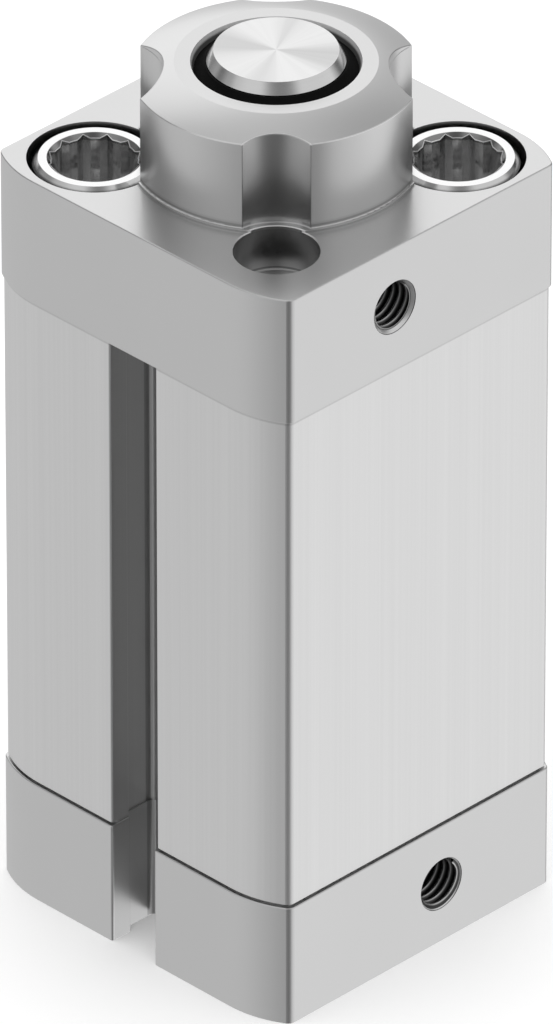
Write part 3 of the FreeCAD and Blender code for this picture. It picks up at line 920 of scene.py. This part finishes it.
@dataclass(frozen=True)
class BorePiece:
    """Piece inside a bore, swept round the bore's axis from one section to the next."""

    name: str
    mouth: Triple
    inwards: Triple
    finish: Finish
    slot: Slot
    major_radius: float = 2.5
    minor_radius: float = 2.07
    sink: float = 0.02
    segments: int = 64
    sharp_angle: float = 35.0

    def section(self, step: int) -> list[Pair]:
        """Section at one step round the axis, as (along, radius) points."""
        raise NotImplementedError

    def steps(self) -> int:
        """Number of steps that the sweep takes."""
        return self.segments

    def ring(self, step: int) -> list[Vector]:
        """Points of one section.

        Args:
            step: Number of the section in the sweep.

        Returns:
            The section's points in metres, in the CAD frame.
        """
        mouth, inwards = Vector(self.mouth), Vector(self.inwards)
        side = inwards.orthogonal().normalized()
        angle = 2 * math.pi * step / self.segments
        across = math.cos(angle) * side + math.sin(angle) * inwards.cross(side)
        return [(mouth + inwards * along + across * radius) * MM for along, radius in self.section(step)]

    def build(self) -> bpy.types.Object:
        """Sweeps the section and closes both ends.

        Returns:
            The piece, riding on the housing.
        """
        steps = self.steps()
        rings = [self.ring(step) for step in range(steps + 1)]
        width = len(rings[0])
        faces = [tuple(range(width)), tuple(reversed(range(steps * width, (steps + 1) * width)))]
        for here in range(0, steps * width, width):
            for number in range(width):
                beside = (number + 1) % width
                faces.append((here + number, here + width + number, here + width + beside, here + beside))
        mesh = bpy.data.meshes.new(self.name)
        mesh.from_pydata([point for ring in rings for point in ring], [], faces)
        mesh.shade_smooth()
        mesh.set_sharp_from_angle(angle=math.radians(self.sharp_angle))
        mesh.materials.append(self.finish.material())
        piece = placed(self.name, mesh)
        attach(piece, Body.HOUSING.value)
        return piece


@dataclass(frozen=True)
class EntryCone(BorePiece):
    """Countersink at the mouth of a tapped bore, which runs into its thread at 45 degrees."""

    depth: float = 0.4
    rim: float = 0.05
    rim_width: float = 0.01
    land: float = 0.01

    def section(self, step: int) -> list[Pair]:
        """Cone and short land, backed by the bore's wall.

        Args:
            step: Number of the section, all of which are alike.

        Returns:
            The points, as (along, radius).
        """
        wall = self.major_radius + self.sink
        throat = self.major_radius + self.rim - self.depth
        return [
            (self.rim, wall),
            (self.rim + self.rim_width, self.major_radius),
            (self.depth, throat),
            (self.depth + self.land, throat),
            (self.depth + self.land, wall),
        ]


@dataclass(frozen=True)
class WiperLip(BorePiece):
    """Soft lip that rises from the wiper to the rod."""

    height: float = 0.82
    thickness: float = 0.12
    waist: float = 0.4
    foot: float = 0.05

    def section(self, step: int) -> list[Pair]:
        """Lip from its foot at the collar to its edge on the rod.

        Args:
            step: Number of the section, all of which are alike.

        Returns:
            The points, as (along, radius).
        """
        return [
            (-self.sink, self.minor_radius),
            (self.height, self.minor_radius),
            (self.height, self.minor_radius + self.thickness),
            (self.height / 2, self.minor_radius + self.waist),
            (self.foot, self.major_radius),
            (-self.sink, self.major_radius),
        ]


@dataclass(frozen=True)
class DriveEdgeHighlight(BorePiece):
    """Bright cord of painted highlight along the edge at which a socket with twelve points runs out into its
    lead-in cone.
    """

    points: int = 12
    half_flats: float = 3.5
    drilled_radius: float = 3.75
    lead_radius: float = 4.14
    half_thickness: float = 0.06

    def section(self, step: int) -> list[Pair]:
        """Fine square cord that lies on the edge.

        Args:
            step: Number of the section round the socket.

        Returns:
            The cord's four corners, as (along, radius).
        """
        spacing = 360 / self.points
        from_corner = abs(360 * step / self.segments % spacing - spacing / 2)
        flat = self.half_flats / math.cos(math.radians(spacing - from_corner))
        wall = max(flat, self.drilled_radius)
        along = self.lead_radius - wall
        half = self.half_thickness
        return [(along - half, wall), (along, wall - half), (along + half, wall), (along, wall + half)]


@dataclass(frozen=True)
class InnerThread(BorePiece):
    """Cut thread in a bore, as one helical ridge that stands in from the CAD wall, which is its root."""

    length: float = 5.0
    start: float = 0.0
    lead: float = 0.0
    pitch: float = 0.8
    foot_share: float = 7 / 16
    crest_share: float = 1 / 8
    edge_share: float = 0.3
    edge_lean: float = 0.4
    point_gap: float = 0.001

    def steps(self) -> int:
        """Steps of the whole helix, which runs half a pitch past both ends."""
        return int(self.segments * (self.length / self.pitch + 1))

    def section(self, step: int) -> list[Pair]:
        """Ridge from its front foot over the crest to its back foot.

        Args:
            step: Number of the section along the helix.

        Returns:
            The points as (along, radius), kept inside the thread's length.
        """
        foot = self.pitch * self.foot_share
        crest = self.pitch * self.crest_share
        edge = self.edge_share * crest
        lean = self.edge_lean * edge
        root = self.major_radius + self.sink
        ridge = [
            (-foot, root),
            (-crest - lean, self.minor_radius + edge),
            (-crest + edge, self.minor_radius),
            (crest - edge, self.minor_radius),
            (crest + lean, self.minor_radius + edge),
            (foot, root),
        ]
        middle = self.start + self.pitch * (step / self.segments - 0.5 + self.lead)
        last = self.start + self.length
        return [
            (min(max(middle + offset, self.start), last) + self.point_gap * number, radius)
            for number, (offset, radius) in enumerate(ridge)
        ]


@dataclass(frozen=True)
class Housing:
    """Barrel between the bearing cap and the end cap, with the threads of both supply ports."""

    body: Body = Body.HOUSING
    half_width: float = 17.65
    port_depth: float = 5.4
    ports: tuple[SupplyPort, ...] = (FRONT_PORT, REAR_PORT)
    caps: tuple[str, ...] = ("end_cap", "bearing_cap")

    def port_pieces(self) -> Iterator[BorePiece]:
        """Lists what both supply ports need.

        Returns:
            The entry cone and the thread of each port, not yet built.
        """
        inwards = (0.0, 1.0, 0.0)
        for port in self.ports:
            mouth = (port.across, -self.half_width, port.level)
            entry = EntryCone(
                f"{port.name}_port_entry", mouth, inwards, ENTRY_FINISH, Slot.CAP, depth=port.entry_depth
            )
            start = entry.depth + entry.land
            yield entry
            yield InnerThread(
                f"{port.name}_port_thread",
                mouth,
                inwards,
                PortThreadMetal(f"finish_{port.name}_port_thread", port.mouth_painted_light),
                Slot.CAP,
                length=self.port_depth - start,
                start=start,
                lead=port.lead,
            )

    def build(self) -> Iterator[bpy.types.Object]:
        """Dresses the three housing nodes and cuts the port threads.

        Returns:
            Each piece as it is finished.
        """
        yield dress("barrel", BARREL_FINISH)
        for cap in self.caps:
            yield dress(cap, CAP_FINISH)
        for piece in self.port_pieces():
            yield piece.build()


@dataclass(frozen=True)
class CollarScrews:
    """Two pairs of collar screws, each with a thread below its socket."""

    body: Body = Body.HOUSING
    nodes: tuple[str, ...] = ("bearing_cap_screws", "end_cap_screws")
    ends: tuple[ScrewEnd, ...] = SCREW_ENDS
    half_pitch: float = CORNER_AXIS[0]
    drive_depth: float = 4.5
    thread_length: float = 9.0
    edge_segments: int = 240
    thread_segments: int = 48

    def sockets(self) -> Iterator[BorePiece]:
        """Lists what the sockets of all the screws need.

        Returns:
            The painted highlight cord on the edge and the inner thread of each screw, not yet built.
        """
        for side, sign in (("left", -1), ("right", 1)):
            across, back = sign * self.half_pitch, -sign * self.half_pitch
            for end in self.ends:
                inwards = (0.0, 0.0, end.inwards)
                yield DriveEdgeHighlight(
                    f"{end.name}_screw_edge_{side}",
                    (across, back, end.mouth),
                    inwards,
                    EDGE_HIGHLIGHT_FINISH,
                    Slot.SCREW,
                    segments=self.edge_segments,
                )
                yield InnerThread(
                    f"{end.name}_screw_thread_{side}",
                    (across, back, end.mouth + end.inwards * self.drive_depth),
                    inwards,
                    SCREW_FINISH,
                    Slot.SCREW,
                    segments=self.thread_segments,
                    length=self.thread_length,
                )

    def build(self) -> Iterator[bpy.types.Object]:
        """Dresses the screws, then lays painted highlight cords on their socket edges and cuts their inner
        threads.

        Returns:
            Each piece as it is finished.
        """
        for node in self.nodes:
            yield dress(node, SCREW_FINISH)
        for piece in self.sockets():
            yield piece.build()


@dataclass(frozen=True)
class RodGuide:
    """Bushes, seals and buffers that stay with the housing."""

    body: Body = Body.HOUSING
    bushes: tuple[str, ...] = ("lower_guide_bush", "upper_guide_bush")
    seals: tuple[str, ...] = ("wiper_ring", "rod_seal", "front_barrel_seal", "rear_barrel_seal")
    buffers: tuple[str, ...] = ("front_buffer", "rear_buffer")
    rod_radius: float = 6.0
    wiper_radius: float = 7.06
    wiper_top: float = 82.3
    lip_gap: float = 0.04
    lip_segments: int = 128

    def wiper_lip(self) -> WiperLip:
        """Sizes the wiper's lip.

        Returns:
            The lip round the rod, not yet built.
        """
        return WiperLip(
            "wiper_lip",
            (0.0, 0.0, self.wiper_top),
            (0.0, 0.0, 1.0),
            SEAL_FINISH,
            Slot.SEAL,
            major_radius=self.wiper_radius,
            minor_radius=self.rod_radius + self.lip_gap,
            segments=self.lip_segments,
        )

    def build(self) -> Iterator[bpy.types.Object]:
        """Adds the wiper's lip and dresses the guide's nodes.

        Returns:
            Each piece as it is finished.
        """
        yield self.wiper_lip().build()
        groups = ((self.bushes, BUSH_FINISH), (self.seals, SEAL_FINISH), (self.buffers, BUFFER_FINISH))
        for names, finish in groups:
            for name in names:
                yield dress(name, finish)


@dataclass(frozen=True)
class RodAssembly:
    """Stop rod with its piston, which slides in the housing."""

    body: Body = Body.ROD
    halves: tuple[str, ...] = ("front_piston_half", "rear_piston_half")
    seals: tuple[str, ...] = ("front_piston_seal", "rear_piston_seal", "spigot_seal")

    def build(self) -> Iterator[bpy.types.Object]:
        """Dresses the moving nodes.

        Returns:
            Each node as it is finished.
        """
        yield dress("stop_rod", ROD_FINISH)
        yield dress("piston_screw", SCREW_FINISH)
        yield dress("magnet_ring", MAGNET_FINISH)
        yield dress("piston_guide_ring", GUIDE_FINISH)
        for name in self.halves:
            yield dress(name, PISTON_FINISH)
        for name in self.seals:
            yield dress(name, SEAL_FINISH)


@dataclass(frozen=True)
class PhotoCamera:
    """Long-lens camera at the photograph's viewing angle."""

    azimuth: float = -45.091
    elevation: float = 32.197
    distance: float = 1738.6
    target_height: float = 37.514
    focal_length: float = 705.25
    sensor: float = 36.0
    shift: float = 0.0002
    farthest: float = 10000.0

    def direction(self) -> Vector:
        """Unit vector from the object to the camera."""
        turn, rise = math.radians(self.azimuth), math.radians(self.elevation)
        return Vector((math.sin(turn) * math.cos(rise), -math.cos(turn) * math.cos(rise), math.sin(rise)))

    def build(self) -> None:
        """Adds the camera and makes it the scene's own."""
        data = bpy.data.cameras.new("photo_camera")
        data.lens = self.focal_length
        data.sensor_width = self.sensor
        data.shift_x = self.shift
        data.clip_end = self.farthest * MM
        camera = placed("photo_camera", data)
        towards = self.direction()
        camera.location = (Vector((0.0, 0.0, self.target_height)) + towards * self.distance) * MM
        camera.rotation_euler = (-towards).to_track_quat("-Z", "Y").to_euler()
        bpy.context.scene.camera = camera


@dataclass(frozen=True)
class TentPatch:
    """Patch of the light tent that is brighter or darker than its walls.

    Its soft edge reaches from one cosine to another of the angle to its middle.
    """

    towards: Triple
    reach: Span
    lift: float

    def brightness(self, tree: ShaderTree, direction: Socket) -> Value:
        """What the patch adds to the tent in a direction."""
        return tree.dot(direction, self.towards).smooth(self.reach) * self.lift


@dataclass(frozen=True)
class Studio:
    """White studio: pale floor, soft overhead lamp and a light tent round the object.

    Metal shows the tent itself, with a dark gap behind the camera and a bright panel at the back. Matt
    surfaces get its even light.
    """

    floor_size: float = 6000.0
    ambient: float = 0.75
    lamp_height: float = 900.0
    lamp_size: float = 900.0
    lamp_power: float = 4.0
    tent_level: float = 0.645
    low_right_lift: float = 0.27
    low_front_drop: float = 0.25
    gap: Pair = (-0.603, -0.797)
    gap_depth: float = 0.69
    gap_narrowing: float = 0.05
    right_reach: Span = (-0.5, 0.8)
    lower_reach: Span = (-0.5, 0.4)
    front_reach: Span = (0.1, 0.8)
    gap_reach: Span = (0.75, 0.98)
    narrowing_reach: Span = (-0.3, 0.5)
    patches: tuple[TentPatch, ...] = (
        TentPatch((0.384, 0.821, 0.423), (0.84, 0.945), 0.54),
        TentPatch((-0.437, 0.767, 0.469), (0.64, 0.966), -0.15),
        TentPatch((0.614, -0.033, 0.788), (0.91, 0.978), -0.20),
        TentPatch((0.905, 0.409, 0.100), (0.90, 0.985), -0.13),
        TentPatch((0.948, -0.150, 0.280), (0.90, 0.985), -0.42),
        TentPatch((-0.300, 0.860, 0.410), (0.88, 0.960), -0.20),
        TentPatch((0.100, 0.990, 0.100), (0.90, 0.980), -0.25),
        TentPatch((0.990, 0.000, -0.120), (0.88, 0.970), -0.25),
        TentPatch((-0.660, 0.710, 0.250), (0.93, 0.985), -0.15),
        TentPatch((0.120, 0.980, -0.150), (0.92, 0.985), -0.12),
        TentPatch((0.830, 0.130, -0.540), (0.93, 0.985), -0.35),
    )

    def build(self) -> None:
        """Adds the floor, the lamp and the world."""
        bpy.context.scene.view_settings.view_transform = "Standard"
        self.build_floor()
        self.build_lamp()
        self.build_world()

    def build_floor(self) -> None:
        """Pale floor with the object's shadow on it."""
        half = self.floor_size / 2 * MM
        corners = [(-half, -half, 0), (half, -half, 0), (half, half, 0), (-half, half, 0)]
        mesh = bpy.data.meshes.new("studio_floor")
        mesh.from_pydata(corners, [], [(0, 1, 2, 3)])
        mesh.materials.append(FLOOR_FINISH.material())
        floor = placed("studio_floor", mesh)
        floor.visible_glossy = False

    def build_lamp(self) -> None:
        """Large soft lamp overhead, which gives the shadow its direction."""
        data = bpy.data.lights.new("overhead_lamp", "AREA")
        data.shape = "DISK"
        data.size = self.lamp_size * MM
        data.energy = self.lamp_power
        lamp = placed("overhead_lamp", data)
        lamp.location = Vector((0.0, 0.0, self.lamp_height)) * MM
        lamp.visible_glossy = False

    def tent(self, tree: ShaderTree) -> Value:
        """Light tent as metal shows it.

        Args:
            tree: Tree of the world.

        Returns:
            The tent's brightness in a direction.
        """
        direction = tree.coordinates("Generated")
        x, y, z = tree.axes(direction)
        sideways = tree.dot(direction, PHOTO_RIGHT).smooth(self.right_reach)
        lower = 1 - z.smooth(self.lower_reach)
        walls = self.tent_level + sideways * lower * self.low_right_lift
        lit = sum((patch.brightness(tree, direction) for patch in self.patches), start=walls)
        facing = (x * self.gap[0] + y * self.gap[1]) * (x * x + y * y) ** -0.5
        front = 1 - facing.smooth(self.front_reach) * lower * self.low_front_drop
        middle = facing - z.smooth(self.narrowing_reach) * self.gap_narrowing
        return lit * front * (1 - middle.smooth(self.gap_reach) * self.gap_depth)

    def build_world(self) -> None:
        """World that the camera sees as white and metal sees as the tent."""
        world = bpy.data.worlds.new("light_tent")
        world.use_nodes = True
        bpy.context.scene.world = world
        world.cycles.sampling_method = "NONE"
        tree = ShaderTree(world.node_tree)
        path = tree.node("ShaderNodeLightPath")
        camera = Value(tree, path.outputs["Is Camera Ray"])
        glossy = Value(tree, path.outputs["Is Glossy Ray"])
        around = (1 - glossy) * self.ambient + glossy * self.tent(tree)
        level = camera + (1 - camera) * around
        inputs = {"Color": (*grey(1.0), 1.0), "Strength": level}
        background = tree.node("ShaderNodeBackground", inputs=inputs)
        tree.node("ShaderNodeOutputWorld", inputs={"Surface": background.outputs["Background"]})


def main() -> None:
    """Builds the studio and the camera, then each sub-assembly in order."""
    logging.basicConfig(level=logging.INFO, format="%(name)s: %(message)s")
    Studio().build()
    PhotoCamera().build()
    for assembly in (Housing(), CollarScrews(), RodGuide(), RodAssembly()):
        for piece in assembly.build():
            LOG.info("%s: %s on %s", type(assembly).__name__, piece.name, assembly.body.value)


if __name__ == "__main__":
    main()
